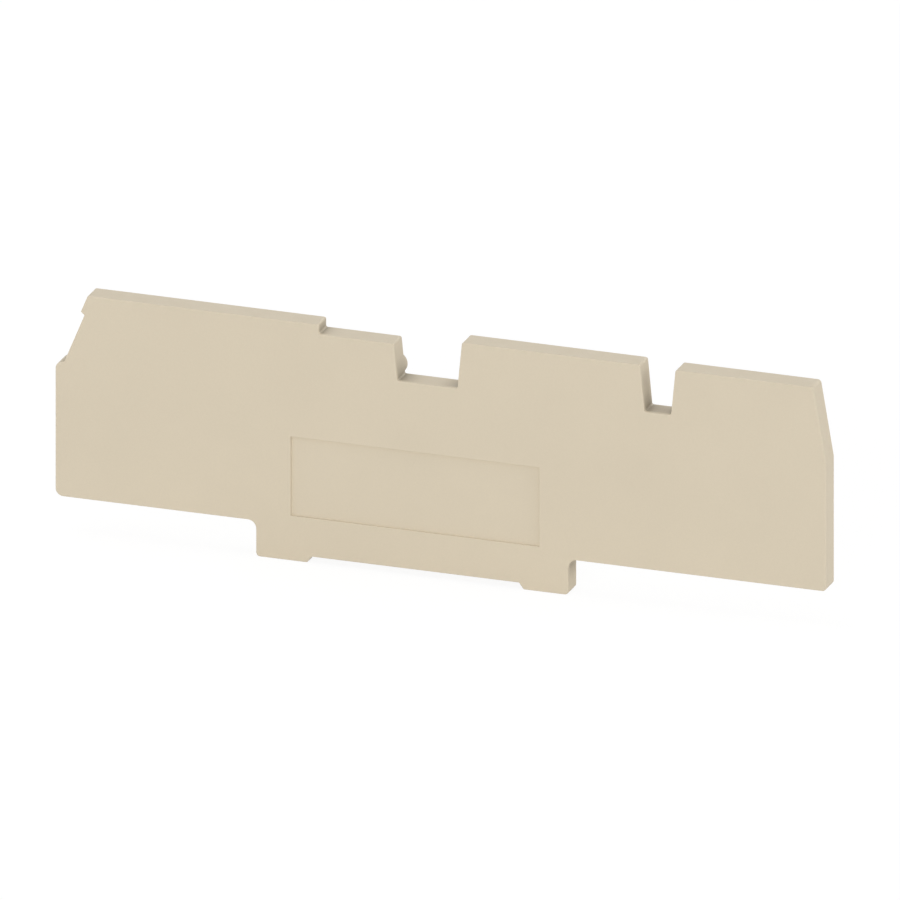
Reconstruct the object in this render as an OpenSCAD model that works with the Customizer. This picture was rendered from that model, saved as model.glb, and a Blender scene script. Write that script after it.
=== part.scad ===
// End cover for a row of rail-mounted terminal blocks, moulded in one piece.
// X runs along the cover, Z is up, and the smooth outer face looks towards -Y.
// The origin is on the mating face, above the rail's centre line, level with the rail's lips.

/* [Body] */
// Reach of the cover to the left of the rail's centre line
left_reach = 47.7; // [42:0.05:60]
// Reach of the cover to the right of the rail's centre line
right_reach = 54.45; // [46:0.05:66]
// Height of the top edge above the rail
top_z = 31.95; // [29:0.05:40]
// Height of the body's lower edge above the rail
body_z = 4.75; // [3.5:0.05:5.5]
// Thickness over everything but the locating pins
plate_t = 3.05; // [2.6:0.05:5]

/* [Left end] */
// Height of the ledge that the left end steps in at
ledge_z = 22.65; // [16:0.05:24]
// Width of that ledge
ledge_w = 1.1; // [0.9:0.05:3]
// Lean of the end wall above the ledge, in degrees from upright
left_lean = 22.3; // [5:0.1:30]
// Height of the lip under the top left corner
lip_h = 2.65; // [1.5:0.05:4]
// How far the lip stands out of the leaning wall
lip_out = 0.65; // [0.3:0.05:1]
// Height of the lip's slanted underside
lip_rise = 0.4; // [0.3:0.05:1]

/* [Right end] */
// Height at which the right end starts to lean in
shoulder_z = 21.9; // [12:0.05:26]
// Lean of the right end above that height, in degrees from upright
right_lean = 9.7; // [2:0.1:20]

/* [Top edge] */
// Place of the small step in the top edge
step_x = -12.85; // [-30:0.05:-8]
// Drop of the top edge at the step
step_drop = 1.29; // [0.6:0.01:2.5]
// Drop of the top edge to the right of the narrow slot
end_drop = 0.1; // [0:0.05:1.5]
// Depth of the two bridge slots below the top edge
slot_depth = 6.2; // [4:0.05:9]
// Draft of the slot walls, in degrees
slot_draft = 5.5; // [0:0.1:9]
// Middle of the wide slot
wide_slot_x = 1.6; // [-2:0.05:8]
// Width of the wide slot at its floor
wide_slot_w = 7.95; // [5:0.05:12]
// Middle of the narrow slot
narrow_slot_x = 32.15; // [18:0.05:36]
// Width of the narrow slot at its floor
narrow_slot_w = 3.5; // [2.5:0.05:6]

/* [Foot] */
// Reach of the foot to the left of the rail's centre line
foot_left = 21.1; // [18:0.05:30]
// Reach of the foot to the right of the rail's centre line
foot_right = 20.3; // [18:0.05:30]
// Width of the recess over the rail's channel, at its roof
recess_w = 27.5; // [20:0.05:30]
// Height of that recess
recess_h = 0.83; // [0.4:0.01:1.5]
// Run of the recess's slanted flanks
flank_run = 0.6; // [0.3:0.05:1.5]

/* [Marking field] */
// Middle of the marking field along the cover
mark_x = -0.05; // [-10:0.05:10]
// Height of the marking field's lower edge above the rail
mark_z = 5.97; // [5:0.01:8]
// Width of the marking field
mark_w = 32.95; // [20:0.05:60]
// Height of the marking field
mark_h = 10.55; // [6:0.05:14]
// Depth of the marking field
mark_depth = 0.35; // [0.2:0.01:0.6]

/* [Corner radii] */
// Outer corners of the two ends
end_r = 1; // [0.3:0.05:1.5]
// Outer corners of the foot, and of the right end
foot_r = 0.5; // [0.2:0.05:0.8]
// Inner corners between the body and the foot
foot_fillet = 1.1; // [0.3:0.05:1.8]
// Outer corners along the top edge
crest_r = 0.3; // [0.2:0.05:0.8]
// Inner corners of the slots, the step, the ledge and the recess
inner_r = 0.25; // [0.1:0.05:0.3]
// Corners of the lip
lip_r = 0.12; // [0.05:0.01:0.2]
// Inner corners of the hollow rear side
pocket_r = 0.4; // [0.2:0.05:0.6]

/* [Rear shell] */
// Thickness of the outer skin
skin_t = 1.4; // [1:0.05:1.9]
// Width of the rim around the hollow rear side
rim_w = 1.3; // [0.8:0.05:2]
// Thickness of the stiffening ribs
rib_t = 1; // [0.6:0.05:1.6]

/* [Locating pins] */
// Diameter of a locating pin
pin_d = 2.9; // [2:0.05:4]
// Length of a pin behind the mating face
pin_l = 1.5; // [1:0.05:4]
// Chamfer at the tip of a pin
pin_chamfer = 0.3; // [0.1:0.05:0.6]
// Wall around a pin's root, which makes its boss in the hollow rear side
boss_wall = 0.8; // [0.4:0.05:1.5]
// Depth of the upper pins below the top edge
upper_pin_drop = 5.4; // [4:0.05:9]
// Gap between the wide slot's wall and the pin beside it
slot_pin_gap = 0.05; // [0:0.05:2]
// Height of the lower pins above the body's lower edge
lower_pin_rise = 4.25; // [3.5:0.05:10]
// Distance of the lower pins from the two ends
end_pin_inset = 6.5; // [4:0.05:12]

/* [Hidden] */

beige = [0.84, 0.79, 0.71];
$fn = 48;
// Degrees of a rounded corner that one straight facet covers
facet = 15;
// Overshoot that keeps a cut clear of the face that it opens
cut = 0.5;

slot_z = top_z - slot_depth;
low_top_z = top_z - step_drop;
end_top_z = top_z - end_drop;
lip_z = top_z - lip_h;
lean_x = ledge_w - left_reach;
pocket_t = plate_t - skin_t;
upper_pin_z = top_z - upper_pin_drop;
lower_pin_z = body_z + lower_pin_rise;

// Place of the leaning left wall at height z, above the ledge
function left_wall(z) = lean_x + (z - ledge_z) * tan(left_lean);

// Place of the leaning right end at height z, above the shoulder
function right_wall(z) = right_reach - (z - shoulder_z) * tan(right_lean);

// Place of a slot's wall at height z, with side -1 on its left and 1 on its right
function slot_wall(x, w, side, z) = x + side * (w / 2 + (z - slot_z) * tan(slot_draft));

// Unit vector from point a to point b
function toward(a, b) = (b - a) / norm(b - a);

// Arc that rounds a corner of an outline, turning either way, from the points around it
function arc(before, at, after, r) =
    let (
        back = toward(at, before),
        ahead = toward(at, after),
        half = acos(back * ahead) / 2,
        centre = at + toward([0, 0], back + ahead) * r / sin(half),
        start = at + back * r / tan(half) - centre,
        first = atan2(start[1], start[0]),
        turn = back[0] * ahead[1] < back[1] * ahead[0] ? 180 - 2 * half : 2 * half - 180,
        steps = ceil(abs(turn) / facet)
    )
    [for (i = [0:steps]) centre + r * [cos(first + turn * i / steps), sin(first + turn * i / steps)]];

// Outline through corners given as [x, z, radius], in order around it
function rounded(corners) = [
    for (i = [0:len(corners) - 1])
        let (
            before = corners[(i + len(corners) - 1) % len(corners)],
            at = corners[i],
            after = corners[(i + 1) % len(corners)]
        )
        each arc([before[0], before[1]], [at[0], at[1]], [after[0], after[1]], at[2])
];

// The left end, from the top edge down
left_end = [
    [left_wall(top_z) - lip_out, top_z, crest_r],
    [left_wall(lip_z + lip_rise) - lip_out, lip_z + lip_rise, lip_r],
    [left_wall(lip_z), lip_z, lip_r],
    [lean_x, ledge_z, inner_r],
    [-left_reach, ledge_z, min(end_r, ledge_w - inner_r)],
    [-left_reach, body_z, end_r]
];

// The foot, from left to right
foot = [
    [-foot_left, body_z, foot_fillet],
    [-foot_left, 0, foot_r],
    [-recess_w / 2 - flank_run, 0, inner_r],
    [-recess_w / 2, recess_h, inner_r],
    [recess_w / 2, recess_h, inner_r],
    [recess_w / 2 + flank_run, 0, inner_r],
    [foot_right, 0, foot_r],
    [foot_right, body_z, foot_fillet]
];

// The right end, from the lower edge up
right_end = [
    [right_reach, body_z, foot_r],
    [right_reach, shoulder_z, end_r],
    [right_wall(end_top_z), end_top_z, foot_r]
];

// A bridge slot from right to left, open to top edges at the two given heights
function slot(x, w, right_z, left_z) = [
    [slot_wall(x, w, 1, right_z), right_z, crest_r],
    [slot_wall(x, w, 1, slot_z), slot_z, inner_r],
    [slot_wall(x, w, -1, slot_z), slot_z, inner_r],
    [slot_wall(x, w, -1, left_z), left_z, crest_r]
];

// The step in the top edge, from the low side to the high side
step = [
    [step_x, low_top_z, inner_r],
    [step_x, top_z, inner_r]
];

module outline() {
    polygon(rounded(concat(
        left_end,
        foot,
        right_end,
        slot(narrow_slot_x, narrow_slot_w, end_top_z, top_z),
        slot(wide_slot_x, wide_slot_w, top_z, low_top_z),
        step
    )));
}

// Left wall of the wide slot and right wall of the narrow one, level with the upper pins
pin_wall_left = slot_wall(wide_slot_x, wide_slot_w, -1, upper_pin_z);
pin_wall_right = slot_wall(narrow_slot_x, narrow_slot_w, 1, upper_pin_z);

upper_pins = [
    [pin_wall_left - slot_pin_gap - pin_d / 2, upper_pin_z],
    [(pin_wall_right + right_wall(upper_pin_z)) / 2, upper_pin_z]
];

lower_pins = [
    [end_pin_inset - left_reach, lower_pin_z],
    [right_reach - end_pin_inset, lower_pin_z]
];

pin_places = concat(upper_pins, lower_pins);

// Ribs stand over both ends of the foot and under the slots' floors
rib_places = [
    -foot_left,
    slot_wall(wide_slot_x, wide_slot_w, -1, slot_z),
    slot_wall(wide_slot_x, wide_slot_w, 1, slot_z),
    foot_right,
    narrow_slot_x
];

module ribs() {
    for (x = rib_places) translate([x - rib_t / 2, 0]) square([rib_t, top_z]);
}

// Each pin stands on a boss, which a web ties to the long edge above or below it
module bosses() {
    for (place = pin_places) translate(place) circle(d = pin_d + 2 * boss_wall);
    for (place = upper_pins)
        translate([place[0] - rib_t / 2, upper_pin_z]) square([rib_t, upper_pin_drop]);
    for (place = lower_pins)
        translate([place[0] - rib_t / 2, body_z]) square([rib_t, lower_pin_rise]);
}

// Plan of the hollows between rim, ribs and bosses, with rounded inner corners
module hollows() {
    offset(r = pocket_r, $fn = 24) offset(delta = -pocket_r) difference() {
        offset(delta = -rim_w) outline();
        ribs();
        bosses();
    }
}

module marking_field() {
    translate([mark_x - mark_w / 2, mark_z, plate_t - mark_depth])
        cube([mark_w, mark_h, mark_depth + cut]);
}

// A pin, rooted in its boss, stands out of the mating face and ends in a chamfer
module locating_pin() {
    shank_l = pin_l - pin_chamfer;
    translate([0, 0, -shank_l]) cylinder(h = shank_l + pocket_t, d = pin_d);
    translate([0, 0, -pin_l]) cylinder(h = pin_chamfer, d1 = pin_d - 2 * pin_chamfer, d2 = pin_d);
}

// The cover is drawn lying on its mating face, then stood up
module end_cover() {
    color(beige) rotate([90, 0, 0]) {
        difference() {
            linear_extrude(plate_t) outline();
            translate([0, 0, -cut]) linear_extrude(pocket_t + cut) hollows();
            marking_field();
        }
        for (place = pin_places) translate(place) locating_pin();
    }
}

end_cover();
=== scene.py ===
"""Looks of a terminal block end cover: rounded moulded edges, matt beige plastic, soft studio.

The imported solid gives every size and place. Lengths are metres in the part's own frame:
X along the cover, Z up, and the smooth outer face looks towards -Y.
"""

import math

import bmesh
import bpy
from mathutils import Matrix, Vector


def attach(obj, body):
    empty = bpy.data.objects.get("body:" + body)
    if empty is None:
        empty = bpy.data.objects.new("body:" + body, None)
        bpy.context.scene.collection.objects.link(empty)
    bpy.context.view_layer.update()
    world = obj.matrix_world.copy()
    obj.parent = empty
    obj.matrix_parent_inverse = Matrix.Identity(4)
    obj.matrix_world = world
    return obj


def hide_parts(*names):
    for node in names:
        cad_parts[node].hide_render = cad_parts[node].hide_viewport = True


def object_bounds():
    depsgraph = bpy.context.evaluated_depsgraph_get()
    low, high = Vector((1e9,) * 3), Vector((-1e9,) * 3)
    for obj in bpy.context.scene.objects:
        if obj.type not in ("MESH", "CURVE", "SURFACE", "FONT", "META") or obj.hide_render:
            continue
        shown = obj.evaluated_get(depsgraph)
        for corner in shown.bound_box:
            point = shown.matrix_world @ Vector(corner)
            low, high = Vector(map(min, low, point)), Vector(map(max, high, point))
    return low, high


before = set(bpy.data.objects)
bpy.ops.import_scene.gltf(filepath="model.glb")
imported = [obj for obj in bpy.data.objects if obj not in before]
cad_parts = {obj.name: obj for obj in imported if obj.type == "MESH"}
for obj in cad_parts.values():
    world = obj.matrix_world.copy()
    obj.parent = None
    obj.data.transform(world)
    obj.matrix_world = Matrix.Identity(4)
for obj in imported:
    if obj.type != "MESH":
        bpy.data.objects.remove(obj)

MM = 0.001

# Node that is dressed
NODE = "end_cover"

# Radii that a mould leaves along its edges, and the flat steps that each quarter turn takes
OUTER_EDGE_R = 0.1 * MM
FIELD_EDGE_R = 0.08 * MM
REAR_EDGE_R = 0.1 * MM
FIELD_FILLET_R = 0.1 * MM
POCKET_FILLET_R = 0.25 * MM
ROUND_STEPS = 4

# Marks of the mould's ejectors on the hollows' floors, with their places in X and Z
EJECTOR_R = 1.25 * MM
EJECTOR_DEPTH = 0.06 * MM
EJECTOR_SIDES = 32
EJECTOR_PLACES = [(x * MM, z * MM) for x, z in (
    (-38, 19),
    (-26.5, 12),
    (-11.5, 23),
    (-11.5, 6),
    (1.6, 15),
    (13, 25),
    (13, 7),
    (26, 18),
    (37.5, 13),
    (47, 18.5),
)]

# Two points nearer than this are one point, and two directions that turn by less are one
SAME = 0.002 * MM
SAME_WAY = 1e-9
# A face counts as square to Y above this share, and as a wall below the next
FLAT = 0.999
WALL = 0.1
# Edges sharper than this keep a hard shade
SHARP_ANGLE = math.radians(40)
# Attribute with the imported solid's own normals, which don't suit the rounded edges
PACKED_NORMALS = "custom_normal"
# Layer and value by which Weighted Normal lets the flat faces lead
STRENGTH_LAYER = "__mod_weightednormals_faceweight"
STRONG = 16384

# The photograph's parallel view: turn and height in degrees, and width of the picture
VIEW = (19.47, 20.705)
PICTURE_W = 112.5 * MM
# Middle of the picture, along and up from the middle of the cover's outer face
AIM_RIGHT = 1.24 * MM
AIM_UP = 1.44 * MM
CAMERA_AWAY = 0.5
CLIP_START = 0.01
CLIP_END = 20

# Share of full light from the surroundings, then each lamp's name, turn and height in degrees,
# and its share
SKY_SHARE = 0.56
LAMPS = (
    ("front_lamp", 0, 10, 0.427),
    ("right_lamp", 90, 10, 0.33),
    ("back_lamp", 180, 10, 0.22),
    ("left_lamp", 270, 65, 0.13),
)
LAMP_SPREAD = math.radians(40)

# The floor: half its width, its grey under the light, and its glow and tint where it is seen
FLOOR_HALF = 3.0
FLOOR_GREY = (0.8, 0.8, 0.8)
FLOOR_GLOW = 0.9
FLOOR_TINT = (0.13, 0.13, 0.13)

# Colours as linear light
BEIGE = (0.672, 0.591, 0.456)
WHITE = (1.0, 1.0, 1.0)

# Size of the clouds, specks and grain in the plastic, how far the first two depart from the
# mean colour, how deep the grain is, and the noise's layers
CLOUD_SIZE = 12 * MM
CLOUD_SHARE = 0.012
CLOUD_DETAIL = 3
FINE_DETAIL = 2
SPECK_SIZE = 0.25 * MM
SPECK_SHARE = 0.01
GRAIN_SIZE = 0.11 * MM
GRAIN_DEPTH = 0.004 * MM
# Level of the shine, on the shader's own scale, where 0.5 is a smooth plastic's
SHINE = 0.2
# Roughness changes over this size, between these two values
GLOSS_SIZE = 2.5 * MM
ROUGHNESS = (0.5, 0.62)
# Shade painted into inner corners darkens them out to this distance, and is measured with this many
# rays
CORNER_REACH = 3 * MM
CORNER_RAYS = 8
# Depths behind the outer face between which that painted shade sets in
CORNER_START = (0.35 * MM, 0.75 * MM)
# Share of a noise's range that holds nearly all of its values
NOISE_RANGE = (0.3, 0.7)


def flat_regions(mesh):
    """Connected faces that look along Y, as dicts, which keep one order from run to run."""
    left = {face: True for face in mesh.faces if abs(face.normal.y) > FLAT}
    regions = []
    while left:
        region = {}
        waiting = [left.popitem()[0]]
        while waiting:
            face = waiting.pop()
            region[face] = True
            for edge in face.edges:
                waiting += [other for other in edge.link_faces if left.pop(other, False)]
        regions.append(region)
    return regions


def border_cycles(region):
    """Closed runs of vertices round a region, which lies to their left."""
    follows = {}
    for face in region:
        for loop in face.loops:
            if not all(other in region for other in loop.edge.link_faces):
                follows[loop.vert] = loop.link_loop_next.vert
    cycles = []
    while follows:
        start, at = follows.popitem()
        cycle = [start]
        while at is not start:
            cycle.append(at)
            at = follows.pop(at)
        cycles.append(cycle)
    return cycles


def wall_beyond(region, cycle):
    """The wall that meets a region at a border's first edge."""
    edge = next(e for e in cycle[0].link_edges if e.other_vert(cycle[0]) is cycle[1])
    return next(face for face in edge.link_faces if face not in region)


def crossing(a, b):
    """Point where two lines meet, each given by a point and a direction."""
    (p, d), (q, e) = a, b
    turn = d.cross(e)
    if abs(turn) < SAME_WAY:
        return q.copy()
    return p + d * ((q - p).cross(e) / turn)


def inset(points, depth):
    """Closed polygon moved by depth to its left, with the edges that vanish taken out."""
    count = len(points)
    lines = []
    for i, here in enumerate(points):
        along = (points[(i + 1) % count] - here).normalized()
        lines.append((here + Vector((-along.y, along.x)) * depth, along))
    alive = [True] * count
    while True:
        moved = []
        for i in range(count):
            back = next(k % count for k in range(i - 1, i - 1 - count, -1) if alive[k % count])
            ahead = next(k % count for k in range(i, i + count) if alive[k % count])
            moved.append(crossing(lines[back], lines[ahead]))
        turned = [
            i for i in range(count)
            if alive[i] and (moved[(i + 1) % count] - moved[i]).dot(lines[i][1]) < 0
        ]
        if not turned:
            return moved
        for i in turned:
            alive[i] = False


def row_of_vertices(mesh, places):
    """One vertex for each place, shared where neighbours fall together."""
    row = []
    for place in places:
        if row and (row[-1].co - place).length < SAME:
            row.append(row[-1])
        elif row and len(row) == len(places) - 1 and (row[0].co - place).length < SAME:
            row.append(row[0])
        else:
            row.append(mesh.verts.new(place))
    return row


def strip_between(mesh, row, next_row):
    """Faces between two closed rows of the same number of vertices."""
    count = len(row)
    for i in range(count):
        j = (i + 1) % count
        corners = list(dict.fromkeys([row[i], row[j], next_row[j], next_row[i]]))
        if len(corners) > 2:
            mesh.faces.new(corners)


def rounded_border(mesh, cycle, normal, radius, hollow):
    """Rounds the edge between a wall and a flat region, and returns the region's new border."""
    if radius == 0:
        return cycle
    across = Vector((1, 0, 0))
    upright = normal.cross(across)
    flat = [Vector((v.co.dot(across), v.co.dot(upright))) for v in cycle]
    level = cycle[0].co.dot(normal)
    side = 1 if hollow else -1
    row = cycle
    for vertex in cycle:
        vertex.co += normal * side * radius
    for step in range(1, ROUND_STEPS + 1):
        turn = math.pi / 2 * step / ROUND_STEPS
        height = level + side * radius * (1 - math.sin(turn))
        places = [
            across * p.x + upright * p.y + normal * height
            for p in inset(flat, radius * (1 - math.cos(turn)))
        ]
        next_row = row_of_vertices(mesh, places)
        strip_between(mesh, row, next_row)
        row = next_row
    return row


def edge_radius(normal, level, hollow, outermost, lowest):
    """The mould's radius for one border of a flat region."""
    outer_side = normal.y < 0
    on_outer_face = outer_side and abs(level + lowest) < SAME
    if on_outer_face:
        return OUTER_EDGE_R if outermost else FIELD_EDGE_R
    if outer_side:
        return FIELD_FILLET_R
    if not hollow:
        return REAR_EDGE_R
    return POCKET_FILLET_R if outermost else 0


def goes_round(cycle, place):
    """Whether a border encloses a place given in X and Z."""
    x, z = place
    inside = False
    for i, end in enumerate(cycle):
        a, b = cycle[i - 1].co, end.co
        if (a.z > z) != (b.z > z) and x < a.x + (z - a.z) / (b.z - a.z) * (b.x - a.x):
            inside = not inside
    return inside


def ejector_mark(mesh, place, level):
    """Shallow round step in a hollow's floor, and its ring in the floor itself."""
    turns = [math.tau * i / EJECTOR_SIDES for i in range(EJECTOR_SIDES)]
    circle = [(EJECTOR_R * math.cos(turn), EJECTOR_R * math.sin(turn)) for turn in turns]
    upper, lower = [
        [mesh.verts.new((place[0] + x, y, place[1] + z)) for x, z in circle]
        for y in (level, level - EJECTOR_DEPTH)
    ]
    strip_between(mesh, upper, lower)
    mesh.faces.new(lower)
    return upper


def fill_region(mesh, borders, normal):
    """Flat faces inside a region's borders."""
    edges = []
    for border in borders:
        ring = [v for i, v in enumerate(border) if v is not border[i - 1]]
        for i, vertex in enumerate(ring):
            pair = (ring[i - 1], vertex)
            edges.append(mesh.edges.get(pair) or mesh.edges.new(pair))
    bmesh.ops.triangle_fill(mesh, edges=edges, normal=normal, use_beauty=True)


def spread(cycle):
    """Reach of a border along X."""
    return max(v.co.x for v in cycle) - min(v.co.x for v in cycle)


def round_edges(mesh):
    """Gives every edge round a flat region the radius that the mould leaves there."""
    lowest = min(v.co.y for v in mesh.verts)
    jobs = []
    for region in flat_regions(mesh):
        normal = Vector((0, 1 if next(iter(region)).normal.y > 0 else -1, 0))
        cycles = border_cycles(region)
        widest = max(cycles, key=spread)
        borders = []
        for cycle in cycles:
            wall = wall_beyond(region, cycle)
            level = cycle[0].co.dot(normal)
            hollow = wall.calc_center_median().dot(normal) > level
            radius = edge_radius(normal, level, hollow, cycle is widest, lowest)
            if abs(wall.normal.y) > WALL:
                radius = 0
            borders.append((cycle, radius, hollow))
        y = widest[0].co.y
        in_hollow = normal.y > 0 and y < -SAME
        marks = [(p, y) for p in EJECTOR_PLACES if in_hollow and goes_round(widest, p)]
        jobs.append((region, normal, borders, marks))
    for region, normal, borders, marks in jobs:
        bmesh.ops.delete(mesh, geom=list(region), context="FACES")
        new_borders = [rounded_border(mesh, c, normal, r, h) for c, r, h in borders]
        new_borders += [ejector_mark(mesh, place, y) for place, y in marks]
        fill_region(mesh, new_borders, normal)


def moulded_cover(node):
    """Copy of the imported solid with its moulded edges."""
    mesh = bmesh.new()
    mesh.from_mesh(node.data)
    bmesh.ops.remove_doubles(mesh, verts=mesh.verts, dist=SAME)
    mesh.normal_update()
    round_edges(mesh)
    bmesh.ops.recalc_face_normals(mesh, faces=mesh.faces)
    strength = mesh.faces.layers.int.new(STRENGTH_LAYER)
    for face in mesh.faces:
        face[strength] = STRONG if abs(face.normal.y) > FLAT else 0
    open_edges = sum(not edge.is_manifold for edge in mesh.edges)
    if open_edges:
        raise ValueError(f"the rounded cover has {open_edges} open edges")
    data = bpy.data.meshes.new("moulded_cover")
    mesh.to_mesh(data)
    mesh.free()
    data.attributes.remove(data.attributes[PACKED_NORMALS])
    data.shade_smooth()
    data.set_sharp_from_angle(angle=SHARP_ANGLE)
    cover = bpy.data.objects.new("moulded_cover", data)
    bpy.context.scene.collection.objects.link(cover)
    normals = cover.modifiers.new("even_normals", "WEIGHTED_NORMAL")
    normals.keep_sharp = True
    normals.use_face_influence = True
    return cover


def noise(tree, size, detail):
    """Noise in the part's own frame, with blotches of about this size."""
    place = tree.nodes.new("ShaderNodeTexCoord")
    node = tree.nodes.new("ShaderNodeTexNoise")
    node.inputs["Scale"].default_value = 1 / size
    node.inputs["Detail"].default_value = detail
    tree.links.new(place.outputs["Object"], node.inputs["Vector"])
    return node.outputs[0]


def stretched(tree, value, before, after):
    """Value carried from one range to another, and held inside it."""
    node = tree.nodes.new("ShaderNodeMapRange")
    node.inputs["From Min"].default_value, node.inputs["From Max"].default_value = before
    node.inputs["To Min"].default_value, node.inputs["To Max"].default_value = after
    tree.links.new(value, node.inputs["Value"])
    return node.outputs["Result"]


def combined(tree, operation, *values):
    """Values taken together, two by two, by a Math node's operation."""
    result = values[0]
    for value in values[1:]:
        node = tree.nodes.new("ShaderNodeMath")
        node.operation = operation
        tree.links.new(result, node.inputs[0])
        tree.links.new(value, node.inputs[1])
        result = node.outputs["Value"]
    return result


def painted_corner_shade(tree, outer_y):
    """Painted shade for inner corners: the share of light left there, with the outer face's shallow
    field left out.
    """
    # Ambient occlusion, which the plastic multiplies into its colour as painted shade
    near = tree.nodes.new("ShaderNodeAmbientOcclusion")
    near.only_local = True
    near.samples = CORNER_RAYS
    near.inputs["Distance"].default_value = CORNER_REACH
    place = tree.nodes.new("ShaderNodeTexCoord")
    parts = tree.nodes.new("ShaderNodeSeparateXYZ")
    tree.links.new(place.outputs["Object"], parts.inputs["Vector"])
    sets_in = [outer_y + depth for depth in CORNER_START]
    left_open = stretched(tree, parts.outputs["Y"], sets_in, (1, 0))
    return combined(tree, "MAXIMUM", near.outputs["AO"], left_open)


def plastic(outer_y):
    """Matt beige moulded plastic: fine eroded grain, faint clouds, and shade painted into its inner
    corners.
    """
    material = bpy.data.materials.new("beige_plastic")
    material.use_nodes = True
    tree = material.node_tree
    shader = tree.nodes["Principled BSDF"]

    clouds = noise(tree, CLOUD_SIZE, CLOUD_DETAIL)
    specks = noise(tree, SPECK_SIZE, FINE_DETAIL)
    # Colour's tone: random clouds and specks, times the shade painted into inner corners
    tone_and_painted_shade = combined(
        tree,
        "MULTIPLY",
        stretched(tree, clouds, NOISE_RANGE, (1 - CLOUD_SHARE, 1 + CLOUD_SHARE)),
        stretched(tree, specks, NOISE_RANGE, (1 - SPECK_SHARE, 1 + SPECK_SHARE)),
        painted_corner_shade(tree, outer_y),
    )
    colour = tree.nodes.new("ShaderNodeVectorMath")
    colour.operation = "SCALE"
    colour.inputs[0].default_value = BEIGE
    tree.links.new(tone_and_painted_shade, colour.inputs["Scale"])
    tree.links.new(colour.outputs["Vector"], shader.inputs["Base Color"])

    gloss = stretched(tree, noise(tree, GLOSS_SIZE, FINE_DETAIL), NOISE_RANGE, ROUGHNESS)
    tree.links.new(gloss, shader.inputs["Roughness"])
    shader.inputs["Specular IOR Level"].default_value = SHINE

    grain = noise(tree, GRAIN_SIZE, FINE_DETAIL)
    bump = tree.nodes.new("ShaderNodeBump")
    bump.inputs["Distance"].default_value = GRAIN_DEPTH
    tree.links.new(grain, bump.inputs["Height"])
    tree.links.new(bump.outputs["Normal"], shader.inputs["Normal"])
    return material


def direction(turn, height):
    """Unit vector towards a place round the part: degrees to the right of its front, and up."""
    turn = math.radians(turn)
    height = math.radians(height)
    level = math.cos(height)
    return Vector((math.sin(turn) * level, -math.cos(turn) * level, math.sin(height)))


def look_from(side, thing):
    """Turns a camera or lamp so that it looks at the part from this side."""
    thing.rotation_mode = "QUATERNION"
    thing.rotation_quaternion = (-side).to_track_quat("-Z", "Y")


def camera(box):
    """Parallel view from the photograph's side."""
    lo, hi = box
    aim = Vector(((lo.x + hi.x) / 2 + AIM_RIGHT, lo.y, (lo.z + hi.z) / 2 + AIM_UP))
    side = direction(*VIEW)
    data = bpy.data.cameras.new("camera")
    data.type = "ORTHO"
    data.ortho_scale = PICTURE_W
    data.clip_start = CLIP_START
    data.clip_end = CLIP_END
    view = bpy.data.objects.new("camera", data)
    view.location = aim + side * CAMERA_AWAY
    look_from(side, view)
    bpy.context.scene.collection.objects.link(view)
    bpy.context.scene.camera = view


def soft_lamp(name, turn, height, share):
    """Broad lamp that gives a face square to it this share of full light."""
    data = bpy.data.lights.new(name, "SUN")
    data.energy = math.pi * share
    data.angle = LAMP_SPREAD
    lamp = bpy.data.objects.new(name, data)
    look_from(direction(turn, height), lamp)
    bpy.context.scene.collection.objects.link(lamp)


def seen_or_mirrored(tree):
    """1 where the camera, a reflection or glass looks, and 0 for the light on things."""
    path = tree.nodes.new("ShaderNodeLightPath")
    rays = ("Is Camera Ray", "Is Glossy Ray", "Is Transmission Ray")
    return combined(tree, "MAXIMUM", *(path.outputs[ray] for ray in rays))


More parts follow.
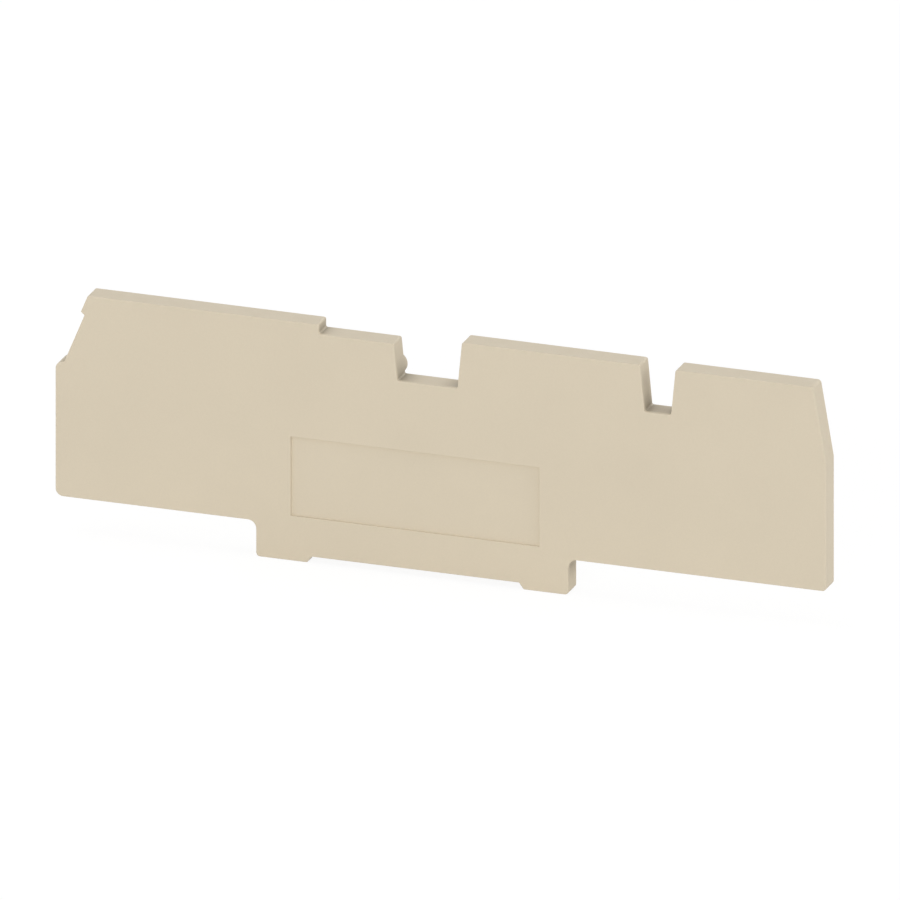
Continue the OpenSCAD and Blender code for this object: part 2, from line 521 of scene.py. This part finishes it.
def mixed(tree, plain, seen, out):
    """Joins a plain shader and the one that is seen to an output."""
    both = tree.nodes.new("ShaderNodeMixShader")
    tree.links.new(seen_or_mirrored(tree), both.inputs["Fac"])
    tree.links.new(plain, both.inputs[1])
    tree.links.new(seen, both.inputs[2])
    tree.links.new(both.outputs[0], out.inputs["Surface"])


def studio():
    """Even light of the surroundings, which are seen as white, and the soft lamps."""
    world = bpy.data.worlds.new("studio")
    world.use_nodes = True
    tree = world.node_tree
    sky = tree.nodes["Background"]
    sky.inputs["Color"].default_value = (*WHITE, 1)
    sky.inputs["Strength"].default_value = SKY_SHARE
    backdrop = tree.nodes.new("ShaderNodeBackground")
    backdrop.inputs["Color"].default_value = (*WHITE, 1)
    mixed(tree, sky.outputs[0], backdrop.outputs[0], tree.nodes["World Output"])
    bpy.context.scene.world = world
    for lamp in LAMPS:
        soft_lamp(*lamp)


def white_floor():
    """Floor that is seen as white, with the object's soft shadow kept."""
    data = bpy.data.meshes.new("floor")
    corners = [(x * FLOOR_HALF, y * FLOOR_HALF, 0) for x, y in ((-1, -1), (1, -1), (1, 1), (-1, 1))]
    data.from_pydata(corners, [], [range(len(corners))])
    floor = bpy.data.objects.new("floor", data)
    bpy.context.scene.collection.objects.link(floor)
    material = bpy.data.materials.new("floor_white")
    material.use_nodes = True
    tree = material.node_tree
    tree.nodes.remove(tree.nodes["Principled BSDF"])
    plain = tree.nodes.new("ShaderNodeBsdfDiffuse")
    plain.inputs["Color"].default_value = (*FLOOR_GREY, 1)
    glow = tree.nodes.new("ShaderNodeEmission")
    glow.inputs["Strength"].default_value = FLOOR_GLOW
    tint = tree.nodes.new("ShaderNodeBsdfDiffuse")
    tint.inputs["Color"].default_value = (*FLOOR_TINT, 1)
    seen = tree.nodes.new("ShaderNodeAddShader")
    tree.links.new(glow.outputs[0], seen.inputs[0])
    tree.links.new(tint.outputs[0], seen.inputs[1])
    mixed(tree, plain.outputs[0], seen.outputs[0], tree.nodes["Material Output"])
    data.materials.append(material)


cad_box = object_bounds()
bpy.context.scene.view_settings.view_transform = "Standard"
camera(cad_box)
studio()
white_floor()

cover = moulded_cover(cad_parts[NODE])
cover.data.materials.append(plastic(cad_box[0].y))
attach(cover, "root")
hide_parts(NODE)
